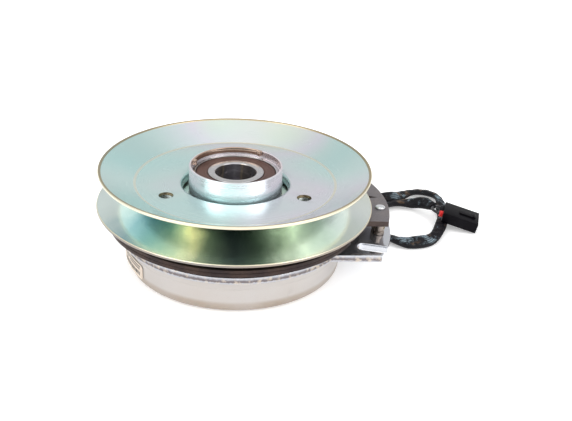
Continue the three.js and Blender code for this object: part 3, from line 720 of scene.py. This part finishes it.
def connector():
    place = connector_place()
    l, w, h = CONNECTOR["length"], CONNECTOR["width"], CONNECTOR["height"]
    body = cuboid((0, l), (-w / 2, w / 2), (-h / 2, h / 2), 0.7)
    bmesh.ops.transform(body, matrix=place, verts=body.verts)
    housing = keep(
        body, "connector_body", "black_plastic", "field", "connector_housing")
    holes = []
    for y in (WAY, -WAY):
        holes.append(cuboid((14, l + 1), (y - 3.9, y + 3.9), (-2.6, 2.4), 0.4))
        holes.append(cuboid((-1, 15), (y - 1.75, y + 1.75), (-1.75, 1.75), 0))
    tool = joined(holes)
    bmesh.ops.transform(tool, matrix=place, verts=tool.verts)
    cut_away(housing, tool, 0.0002)
    latch = joined([
        cuboid((12, 25), (-3.1, 3.1), (h / 2 + 0.35, h / 2 + 1.05), 0.25),
        cuboid((22.4, 24.8), (-3.1, 3.1), (h / 2 + 0.7, h / 2 + 1.5), 0.25),
    ])
    bmesh.ops.transform(latch, matrix=place, verts=latch.verts)
    clip = keep(
        latch, "connector_clip", "black_plastic", "field", "connector_latch")
    pieces = [housing, clip]
    for i, y in enumerate((WAY, -WAY), 1):
        blade = joined([
            cuboid((13, 26), (y - 1.6, y + 1.6), (-0.5, 0.3), 0.12),
            cuboid((13, 19), (y - 1.6, y - 1.2), (-0.5, 1.4), 0.1),
            cuboid((13, 19), (y + 1.2, y + 1.6), (-0.5, 1.4), 0.1),
            cuboid((22.5, 27.2), (y - 3.4, y - 2.9), (-2.2, 2.0), 0.1),
            cuboid((22.5, 27.2), (y + 2.9, y + 3.4), (-2.2, 2.0), 0.1),
            cuboid((22.5, 27.2), (y - 2.8, y + 2.8), (-2.3, -1.8), 0.1),
        ])
        bmesh.ops.transform(blade, matrix=place, verts=blade.verts)
        pieces.append(keep(blade, f"blade_{i}", "brass", "field", f"terminal_{i}"))
        seal = lathe(rounded([
            (WIRE_D / 2 + 0.12, 0.3), (2.6, 0.3), (2.6, 0.9), (2.2, 1.2), (2.6, 1.5), (2.6, 2.1),
            (2.2, 2.4), (2.4, 3.1), (WIRE_D / 2 + 0.12, 3.1)], 0.2), 32)
        stand = place @ Matrix.Translation((0, y, 0)) @ Matrix.Rotation(-math.pi / 2, 4, "Y")
        bmesh.ops.transform(seal, matrix=stand, verts=seal.verts)
        color, slot = (("black_rubber", "black_rubber"), ("red_rubber", "red_rubber"))[i - 1]
        pieces.append(keep(seal, f"seal_{i}", color, "field", f"wire_seal_{i}"))
    return pieces


def wires():
    place = connector_place()

    def at(x, y):
        return tuple(place @ Vector((x, y, 0)))

    lines = [
        [(160.1, 71.6, 10.2), (160.4, 69.6, 11.0), at(-4.6, WAY), at(-3.4, WAY), at(4, WAY)],
        [(158.2, 70.0, 10.2), (156.2, 65.4, 11.2), (156.4, 59.6, 12.2), at(-5.0, -WAY), at(-3.4, -WAY),
         at(4, -WAY)],
    ]
    made = []
    for i, points in enumerate(lines, 1):
        r = WIRE_D / 2
        tube = swept(smooth_line(points, 0.5), lambda s, a, total: (r * math.cos(a), r * math.sin(a)), 20)
        made.append(
            keep(tube, f"wire_{i}", "wire_black", "field", f"lead_wire_{i}"))
    return made


def lead():
    line = smooth_line(LEAD_LINE, 0.45)
    tube = swept(line, sleeve_section, 40, uv=True)
    sleeve = keep(tube, "braided_sleeve", "sleeve", "field", "lead_sleeve", sharp=60)
    out = lathe(rounded([
        (2.9, 0.4), (6.4, 0), (6.4, 2.0), (5.4, 2.6), (5.1, 4.0), (4.5, 4.3), (4.5, 5.2), (4.9, 5.6),
        (4.7, 7.0), (4.1, 7.3), (4.1, 8.2), (4.5, 8.6), (4.2, 10.4), (3.75, 10.7), (3.75, 11.6),
        (4.0, 12.0), (3.8, 13.0), (3.4, 13.0), (3.3, 1.0)], 0.3), 40)
    turn = Matrix.Rotation(math.radians(EXIT["angle"]), 4, "Z")
    place = turn @ Matrix.Translation((SHELL_R + GAP, 0, EXIT["z"]))
    bmesh.ops.transform(out, matrix=place @ Matrix.Rotation(math.pi / 2, 4, "Y"), verts=out.verts)
    keep(out, "grommet", "black_rubber", "field", "lead_grommet")
    wires()
    connector()


lead()


# ---------- field ----------
STAY_AT = [polar(102.4, -2.6), polar(102.4, 24.0)]
STOP_AT = (101.0, -16.5)


def field_shell():
    wall, c = SHELL_R - 3.0, SHELL_CORNER
    line = 17.6
    outline = [
        (24, 0), (SHELL_R - c, 0), *arc(SHELL_R - c, c, c, -84, -6, 12), (SHELL_R, c),
        (SHELL_R, line - 0.3), (SHELL_R - 0.2, line), (SHELL_R, line + 0.3), (SHELL_R, SHELL_TOP),
        (wall, SHELL_TOP), (wall, 8.0), *arc(wall - 3, 7, 3, -6, -84, 6), (28, 4), (28, 26), (24, 26)]
    shell = keep(
        lathe(rounded(outline, 0.4)), "drawn_shell", "field_steel", "field", "field_shell")
    dimple = bmesh.new()
    bmesh.ops.create_uvsphere(dimple, u_segments=32, v_segments=16, radius=DIMPLE["r"])
    out = Matrix.Translation((SHELL_R + DIMPLE["r"] - DIMPLE["depth"], 0, DIMPLE["z"]))
    turn = Matrix.Rotation(math.radians(DIMPLE["angle"]), 4, "Z")
    bmesh.ops.transform(dimple, matrix=turn @ out, verts=dimple.verts)
    cut_away(shell, dimple, 0.0004)


def slot_points():
    """The torque slot's outline from the tab's outer edge in and out again."""
    (x, y), r, tilt = SLOT["inner"], SLOT["width"] / 2, math.radians(SLOT["tilt"])
    d, n = Vector((math.cos(tilt), math.sin(tilt))), Vector((-math.sin(tilt), math.cos(tilt)))

    def edge(side):
        p = Vector((x, y)) + side * r * n
        reach = -p.dot(d) + math.sqrt(p.dot(d) ** 2 - p.dot(p) + TAB["outer"] ** 2)
        return tuple(p + d * reach)

    return [edge(-1), *arc(x, y, r, 270 + SLOT["tilt"], 90 + SLOT["tilt"], 20), edge(1)]


def angle_at(radius, y):
    return math.degrees(math.asin(y / radius))


def mounting_plate():
    out, slot = TAB["outer"], slot_points()
    before = math.degrees(math.atan2(slot[0][1], slot[0][0]))
    after = math.degrees(math.atan2(slot[-1][1], slot[-1][0]))
    outline = [
        *arc(0, 0, PLATE_R, angle_at(PLATE_R, TAB["back"]), 360 + angle_at(PLATE_R, TAB["front"]), 150),
        *arc(0, 0, out, angle_at(out, TAB["front"]), before - 0.2, 4), *slot,
        *arc(0, 0, out, after + 0.2, angle_at(out, TAB["back"]), 36)]
    holes = [circle(0, 0, PLATE_HOLE_R, 150), *(circle(x, y, STAY_HOLE_R, 24) for x, y in STAY_AT)]
    plate = keep(
        slab(outline, *PLATE_Z, holes, 0.5), "field_plate", ["zinc_plate", "zinc_edge"], "field",
        "mounting_plate")
    slot_middle = Vector(SLOT["middle"]) / 1000
    for face in plate.data.polygons:
        if abs(face.normal.z) < 0.4 and (face.center.xy - slot_middle).length * 1000 > SLOT["reach"]:
            paint(plate, face, "zinc_edge")


def brake_plate():
    (inner, outer), front_y, back = BRAKE_R, BRAKE_FRONT, BRAKE_BACK
    outline = [
        *arc(0, 0, outer, angle_at(outer, front_y), back, 44), *arc(0, 0, inner, back, 15, 16),
        polar(103.6, 7.5), *arc(0, 0, inner, 6.5, angle_at(inner, front_y), 18)]
    holes = [circle(x, y, STAY_HOLE_R, 24) for x, y in STAY_AT]
    plate = keep(
        slab(outline, *BRAKE_Z, holes, 0.35), "brake_segment", ["brake_steel", "brake_edge"], "field",
        "brake_plate")
    for face in plate.data.polygons:
        if abs(face.normal.z) < 0.4:
            paint(plate, face, "brake_edge")


def rivet(name, x, y, low, high, shank, head, foot, material, body, node, slot):
    outline = [
        (0, low - foot[1]), (foot[0] * 0.8, low - foot[1]), (foot[0], low - foot[1] * 0.6), (foot[0], low),
        (shank, low), (shank, high), (head[0], high), (head[0], high + 0.35 * head[1])]
    outline += [
        (head[0] * math.cos(a), high + head[1] * (0.35 + 0.65 * math.sin(a)))
        for a in (0.3, 0.6, 0.9, 1.2)]
    outline.append((0, high + head[1]))
    mesh = spun(outline, 28)
    bmesh.ops.transform(mesh, matrix=Matrix.Translation((x, y, 0)), verts=mesh.verts)
    keep(mesh, name, material, body, node, sharp=40)


def stop_pin():
    base = PLATE_Z[1] + GAP
    outline = [
        (0, base), (3.6, base), (3.6, base + 1.9), (3.1, base + 2.4), (2.6, base + 2.7), (2.6, 36.6),
        (2.35, 36.8), (2.35, 37.2), (2.6, 37.4), (2.6, BRAKE_Z[0] - GAP), (0, BRAKE_Z[0] - GAP)]
    mesh = spun(outline, 32)
    bmesh.ops.transform(mesh, matrix=Matrix.Translation((*STOP_AT, 0)), verts=mesh.verts)
    keep(mesh, "stop_pin", "zinc_dull", "field", "brake_stop_pin")


def label():
    """A plain label whose far end has lifted, with rows of bars for print."""
    span = LABEL["to"] - LABEL["from"]

    def patch(start, end, low, high, lift, thick, corner=0.0):
        mesh = bmesh.new()
        rows = []
        for i in range(25):
            share = start + (end - start) * i / 24
            r = SHELL_R + GAP + LABEL["lift"] * share ** 2 + lift
            at_edge = min(i, 24 - i) / 24 * abs((end - start) * span) * math.radians(1) * SHELL_R
            cut = corner - math.sqrt(
                max(0.0, corner ** 2 - max(0.0, corner - at_edge) ** 2)) if corner else 0.0
            angle = LABEL["from"] + span * share
            rows.append([
                mesh.verts.new((*polar(r + t, angle), z))
                for t, z in ((0, low + cut), (thick, low + cut), (thick, high - cut), (0, high - cut))])
        for a, b in zip(rows, rows[1:]):
            for k in range(4):
                m = (k + 1) % 4
                mesh.faces.new((a[k], b[k], b[m], a[m]))
        mesh.faces.new(rows[0])
        mesh.faces.new(rows[-1][::-1])
        return mesh

    low, high = LABEL["z"]
    keep(
        patch(0, 1, low, high, 0, 0.2, 1.6), "label", "label_film", "field", "shell_label")
    bars = [
        (0.08, 0.9, high - 2.2, high - 1.3), (0.1, 0.5, high - 4.0, high - 3.2),
        (0.56, 0.86, high - 4.0, high - 3.2)]
    bars += [(0.09 + 0.05 * i, 0.115 + 0.05 * i + 0.008 * (i % 3), low + 2.0, low + 4.6) for i in range(14)]
    ink = joined([patch(a, b, low_z, high_z, 0.2, 0.06) for a, b, low_z, high_z in bars])
    keep(ink, "label_bars", "label_ink", "field")


field_shell()
mounting_plate()
brake_plate()
stop_pin()
label()
for number, (stay_x, stay_y) in enumerate(STAY_AT, 1):
    rivet(f"stay_{number}", stay_x, stay_y, PLATE_Z[0] - GAP, BRAKE_Z[1] + GAP, 2.6, (3.5, 1.7), (4.6, 1.6),
          "rivet_steel", "field", f"brake_rivet_{number}", "rivet_steel")


# ---------- armature ----------
def armature():
    outline = [
        (36, ARM_Z[0]), (ARM_R, ARM_Z[0]), (ARM_R, 37.0), (ARM_R - 0.35, 37.2), (ARM_R - 0.35, 37.45),
        (ARM_R, 37.65), (ARM_R, ARM_Z[1]), (36, ARM_Z[1])]
    disc = keep(
        lathe(rounded(outline, 0.3)), "armature_disc", "armature_steel", "armature", "armature")
    cuts = [[polar(84, -28.4), polar(92, -28.2), polar(92, -26.4), polar(84, -26.2)]]
    for angle in ACCESS["angles"]:
        cuts.append(
            [*arc(0, 0, 56, angle - 32, angle + 32, 24), *arc(0, 0, 53, angle + 32, angle - 32, 24)])
        cuts.append(circle(*polar(ARM_RIVET["at"], angle + ARM_RIVET["offset"]), ARM_RIVET["r"], 24))
    cut_away(disc, prism(cuts, 30, 45))


armature()


# ---------- rotor ----------
def rotor():
    inner, pole = HUB_SHAFT_R + GAP, ROTOR_R - 4
    outline = [
        (inner, 29.4), (pole, 29.4), (pole, 10), (ROTOR_R, 10), (ROTOR_R, 33.9), (62, 33.9), (62, 32.4),
        (50, 32.4), (50, 33.9), (inner, 33.9)]
    keep(
        lathe(rounded(outline, 0.4)), "rotor_plate", "rotor_steel", "rotor", "rotor_disc")
    half, key_top = KEYWAY["half"], KEYWAY["top"]
    start = math.degrees(math.acos(half / BORE_R))
    bore = [*arc(0, 0, BORE_R, 180 - start, 360 + start, 80), (half, key_top), (-half, key_top)]
    hub = slab(circle(0, 0, HUB_SHAFT_R, 128), 1.0, 51.0, [bore], 0.4)
    keep(hub, "keyed_hub", "machined_steel", "rotor", "rotor_hub")
    r = INNER_RACE_R
    race = [
        (BORE_R, RACE_BOTTOM), (r, RACE_BOTTOM), (r, 57.6), (18.95, 58.6), (18.9, 60.4), (18.95, 62.2),
        (r, 63.2), (r, RACE_TOP), (BORE_R + 0.6, RACE_TOP), (BORE_R, RACE_TOP - 0.6)]
    ring = keep(lathe(rounded(race, 0.35)), "inner_race", ["race_steel", "machined_steel"], "rotor",
                "bearing_inner_race")
    for face in ring.data.polygons:
        if math.hypot(face.center.x, face.center.y) * 1000 < BORE_R + 0.1:
            paint(ring, face, "machined_steel")


rotor()


# ---------- pulley ----------
def upper_half():
    lip_r, lip_z = RIM_UP
    edge, bend = OPENING_R, OPENING_BEND
    foot = [(edge, 54.0), (edge + SHEET, 54.0), (edge + SHEET, DISC_Z - bend)]
    outline = rounded(foot, 0.4) + arc(edge + bend, DISC_Z - bend, bend - SHEET, 170, 90, 8)
    outline += arc(ROOT_R - 0.4, DISC_Z - SHEET + 5, 5, -88, -66, 4)
    outline += [(lip_r - 2.0, lip_z - 2.6), (lip_r - 1.3, lip_z - 2.45), (lip_r - 0.45, lip_z - 2.15)]
    outline += arc(lip_r - 0.95, lip_z - 0.98, 0.95, -20, 115, 8)
    outline += [(lip_r - 1.9, lip_z - 0.4), (lip_r - 2.15, lip_z - 0.9)]
    outline += arc(ROOT_R - 1.0, DISC_Z + 6, 6, -66, -88, 5)
    outline += arc(edge + bend, DISC_Z - bend, bend, 90, 178, 12)
    body = keep(
        lathe(outline, 256), "sheave_top",
        ["zinc_top", "zinc_lip", "zinc_groove_film_and_reflections", "zinc_moat_shade", "zinc_roll", "zinc_crease_highlight"], "pulley",
        "pulley_upper")
    cut_away(body, prism(round_holes(ACCESS), 50, 66), 0.0003)
    for face in body.data.polygons:
        c = face.center
        reach = math.hypot(c.x, c.y) * 1000
        inward = -(face.normal.x * c.x + face.normal.y * c.y) * 1000 / reach
        if reach > lip_r - 2.1:
            paint(body, face, "zinc_roll" if inward > -0.45 and face.normal.z > 0 else "zinc_lip")
        elif abs(face.normal.z) < 0.3 and abs(reach - ACCESS["at"]) < ACCESS["r"] + 0.5:
            paint(body, face, "zinc_roll")
        # Painted highlight: a pale band along the crease where the slope meets the disc.
        elif abs(reach - ROOT_R - 0.4) < 0.9 and face.normal.z > 0.2:
            paint(body, face, "zinc_crease_highlight")
        # Painted shade: the faces round the opening take the darker moat copy of the plating.
        elif reach < edge + 1.2:
            paint(body, face, "zinc_moat_shade")
        elif face.normal.z < -0.2:
            paint(body, face, "zinc_groove_film_and_reflections")


def lower_half():
    lip_r, lip_z = RIM_LOW
    top = DISC_Z - SHEET - GAP
    outline = [
        (HUB_R + GAP, 49.8), (42.4, 49.8), (43.6, 50.4), (48.4, 56.6), (49.6, top - SHEET),
        (ROOT_R - 0.8, top - SHEET), (ROOT_R + 1.4, top - SHEET - 0.6), (lip_r - 1.9, lip_z - 2.2),
        (lip_r - 1.1, lip_z - 2.25), (lip_r - 0.4, lip_z - 2.0)]
    outline += arc(lip_r - 0.95, lip_z - 0.98, 0.95, -30, 75, 7)
    outline += [
        (ROOT_R + 2.0, top - 0.5), (ROOT_R - 0.2, top), (48.6, top), (47.4, top - 0.5), (42.6, 52.4),
        (41.4, 51.8), (HUB_R + GAP, 51.8)]
    body = keep(
        lathe(outline, 256), "sheave_bottom", ["zinc_groove_film_and_reflections", "zinc_lip", "zinc_dull"], "pulley",
        "pulley_lower")
    cut_away(body, prism(round_holes(ACCESS) + round_holes(HUB_RIVET), 45, 66), 0.0003)
    # Painted shade: the lower lip is pale where its faces point up and dark dull zinc where they face out and
    # down.
    for face in body.data.polygons:
        c = face.center
        if math.hypot(c.x, c.y) * 1000 > lip_r - 1.25:
            paint(body, face, "zinc_lip" if face.normal.z > 0.5 else "zinc_dull")


def pulley_hub():
    top = HUB_TOP
    outline = [
        (30.3, 47.0), (46.0, 47.0), (46.0, 49.5), (HUB_R + 0.6, 49.5), (HUB_R, 50.1), (HUB_R, 69.3),
        (HUB_R - 0.22, 69.5), (HUB_R - 0.22, 69.8), (HUB_R, 70.0), (HUB_R, 71.2), (HUB_R - 0.2, 71.35),
        (HUB_R - 0.2, 71.6), (HUB_R, 71.75), (HUB_R, top - 0.5), (HUB_R - 0.45, top), (31.3, top),
        (31.0, top - 0.3), (31.0, RACE_TOP + 0.1), (30.3, RACE_TOP - 0.2)]
    body = keep(
        lathe(rounded(outline, 0.15)), "bearing_tube", "zinc_hub", "pulley", "pulley_hub")
    cut_away(body, prism(round_holes(HUB_RIVET), 46, 50.2))


def bearing():
    outer = [
        (27.9, RACE_BOTTOM), (OUTER_RACE_R, RACE_BOTTOM), (OUTER_RACE_R, RACE_TOP), (27.9, RACE_TOP),
        (27.9, 63.2), (28.3, 62.2), (28.35, 60.4), (28.3, 58.6), (27.9, 57.6)]
    keep(
        lathe(rounded(outer, 0.35)), "outer_race", "race_steel", "pulley", "bearing_outer_race")
    for name, z, way in (("top", RACE_TOP - 0.4, -1), ("bottom", RACE_BOTTOM + 0.4, 1)):
        profile = [
            (19.7, 0.35), (20.6, 0.1), (21.6, 0.0), (22.0, 0.25), (25.0, 0.25), (25.4, 0.0), (27.0, 0.0),
            (27.5, 0.3), (27.5, 1.1), (19.7, 1.1)]
        outline = [(r, z + way * depth) for r, depth in profile]
        keep(
            lathe(rounded(outline, 0.15)), f"seal_{name}", "seal_rubber", "pulley",
            f"bearing_seal_{name}")
    r = RETAINER
    inner = r["outer"] - r["thickness"]
    band = [
        polar(inner - r["hook"], r["from"]), polar(inner - r["hook"], r["from"] - 4),
        polar(r["outer"], r["from"] - 4), *arc(0, 0, r["outer"], r["from"], r["to"], 60),
        polar(r["outer"], r["to"] + 4), polar(inner - r["hook"], r["to"] + 4),
        polar(inner - r["hook"], r["to"]), *arc(0, 0, inner, r["to"], r["from"], 60)]
    keep(
        slab(band, *r["z"], (), 0.4), "retainer", "copper_spring", "pulley", "bearing_retainer")


upper_half()
lower_half()
pulley_hub()
bearing()
# The spring studs take the dark brake-edge finish: painted shade for the deep access holes they sit under.
for number, access_angle in enumerate(ACCESS["angles"], 1):
    rivet(
        f"spring_stud_{number}", *polar(ACCESS["at"], access_angle), 41.3, 47.0, 2.6, (4.2, 1.8),
        (4.0, 0.9), "brake_edge", "pulley", f"spring_rivet_{number}", "rivet_steel")


# ---------- CAD solids that keep their shape ----------
KEPT = {
    "coil_bobbin": "black_plastic", "coil_winding": "winding", "coil_potting": "potting",
    "field_bushing": "bronze", "brake_spacer_1": "gold_zinc", "brake_spacer_2": "gold_zinc",
    "rotor_friction_ring": "friction", "bearing_cage": "bronze", "drive_plate": "grey_steel"}
KEPT.update({f"bearing_ball_{i}": "race_steel" for i in range(1, 9)})
KEPT.update({f"{name}_{i}": "rivet_steel" for name in ("hub_rivet", "armature_rivet") for i in (1, 2, 3)})
KEPT.update({f"leaf_spring_{i}": "spring_steel" for i in (1, 2, 3)})
for node, finish in KEPT.items():
    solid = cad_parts[node]
    if not solid.data.materials:
        solid.data.materials.append(MATERIALS[finish])
    for place in solid.material_slots:
        place.material = MATERIALS[finish]


# ---------- floor and light ----------
def sky():
    """A pale room: bright above and behind, dimmer overhead, dark where the photographer stands."""
    world = bpy.data.worlds.new("studio")
    world.use_nodes = True
    tree = world.node_tree
    add, link = tree.nodes.new, tree.links.new

    def ramp(fac, stops):
        node = add("ShaderNodeValToRGB")
        while len(node.color_ramp.elements) < len(stops):
            node.color_ramp.elements.new(0.5)
        for element, (place, grey) in zip(node.color_ramp.elements, stops):
            element.position = place
            element.color = (grey, grey, grey, 1)
        link(fac, node.inputs[0])
        return node.outputs[0]

    def math_node(operation, a, b):
        node = add("ShaderNodeMath")
        node.operation = operation
        for socket, what in zip(node.inputs, (a, b)):
            if isinstance(what, (int, float)):
                socket.default_value = what
            else:
                link(what, socket)
        return node.outputs[0]

    split = add("ShaderNodeSeparateXYZ")
    link(add("ShaderNodeTexCoord").outputs["Generated"], split.inputs[0])
    x, y, z = split.outputs
    height = ramp(
        z, [(0.0, 0.50), (0.10, 0.66), (0.32, 0.80), (0.52, 0.68), (0.72, 0.60), (0.88, 0.90), (1.0, 1.2)])
    front = ramp(math_node("MULTIPLY", y, -1.0), [(0.30, 0.0), (0.75, 1.0)])
    low = ramp(z, [(0.10, 1.0), (0.24, 0.0)])
    shade = math_node("MULTIPLY", front, low)
    box = math_node("MULTIPLY", front, ramp(z, [(0.22, 0.0), (0.34, 1.0), (0.58, 1.0), (0.74, 0.0)]))
    light = math_node("MULTIPLY", height, math_node("SUBTRACT", 1.0, math_node("MULTIPLY", shade, 0.9)))
    light = math_node("ADD", light, math_node("MULTIPLY", box, 1.1))
    link(light, tree.nodes["Background"].inputs["Color"])
    tree.nodes["Background"].inputs["Strength"].default_value = 1.0
    bpy.context.scene.world = world


def studio():
    mesh = bpy.data.meshes.new("floor")
    size, z = 6.0, -0.0004
    mesh.from_pydata(
        [(-size, -size, z), (size, -size, z), (size, size, z), (-size, size, z)], [], [(0, 1, 2, 3)])
    floor = bpy.data.objects.new("floor", mesh)
    paper = bpy.data.materials.new("floor")
    paper.use_nodes = True
    shader = paper.node_tree.nodes["Principled BSDF"]
    shader.inputs["Base Color"].default_value = (0.93, 0.93, 0.93, 1)
    shader.inputs["Roughness"].default_value = 0.9
    shader.inputs["Emission Color"].default_value = (1, 1, 1, 1)
    shader.inputs["Emission Strength"].default_value = 0.34
    mesh.materials.append(paper)
    bpy.context.scene.collection.objects.link(floor)
    lamps = [
        ("left", (-1.1, -0.75, 1.15), 1.2, 8.5), ("right", (1.15, -0.7, 1.1), 1.1, 7.5),
        ("back", (0.1, 1.3, 1.3), 1.3, 7.0)]
    for name, where, size, power in lamps:
        light = bpy.data.lights.new(name, "AREA")
        light.shape = "DISK"
        light.size = size
        light.energy = power
        lamp = bpy.data.objects.new(name, light)
        lamp.location = where
        lamp.rotation_euler = (Vector((0, 0, 0.03)) - Vector(where)).to_track_quat("-Z", "Y").to_euler()
        lamp.visible_glossy = name != "back"
        bpy.context.scene.collection.objects.link(lamp)
    sky()
    bpy.context.scene.view_settings.view_transform = "Standard"


studio()
